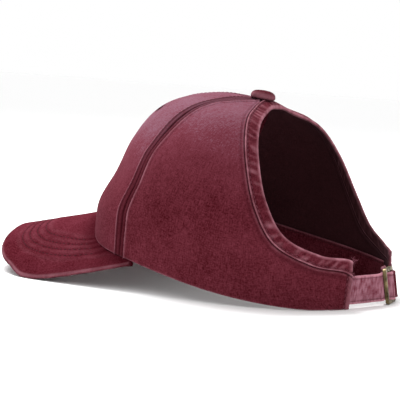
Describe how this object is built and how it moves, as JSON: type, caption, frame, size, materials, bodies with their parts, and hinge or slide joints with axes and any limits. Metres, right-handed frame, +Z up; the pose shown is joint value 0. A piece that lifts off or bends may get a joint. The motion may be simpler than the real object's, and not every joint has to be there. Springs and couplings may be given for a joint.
{
  "type": "ponytail baseball cap",
  "caption": "Washed cotton baseball cap with a curved brim, an open bound back for a ponytail, and a strap with a metal slide buckle.",
  "frame": {"origin": "middle of the cap's box, on the surface that it rests on", "axes": "+Z up, the brim points along -Y, the wearer's left is +X"},
  "size_m": [0.164, 0.2594, 0.1233],
  "materials": {
    "washed_cotton": "washed burgundy cotton twill, faded on seams and edges",
    "sweatband_twill": "plain dark red cotton twill",
    "embroidery_thread": "matt burgundy thread",
    "antique_brass": "dull antique brass"
  },
  "bodies": {
    "root": {"front_panel_left": "washed_cotton", "front_panel_right": "washed_cotton", "side_panel_left": "washed_cotton", "side_panel_right": "washed_cotton", "opening_binding": "washed_cotton", "sweatband": "sweatband_twill", "brim": "washed_cotton", "eyelet_left": "embroidery_thread", "eyelet_right": "embroidery_thread", "strap": "washed_cotton", "buckle_tab": "washed_cotton", "buckle": "antique_brass", "top_button": "washed_cotton"}
  },
  "joints": []
}
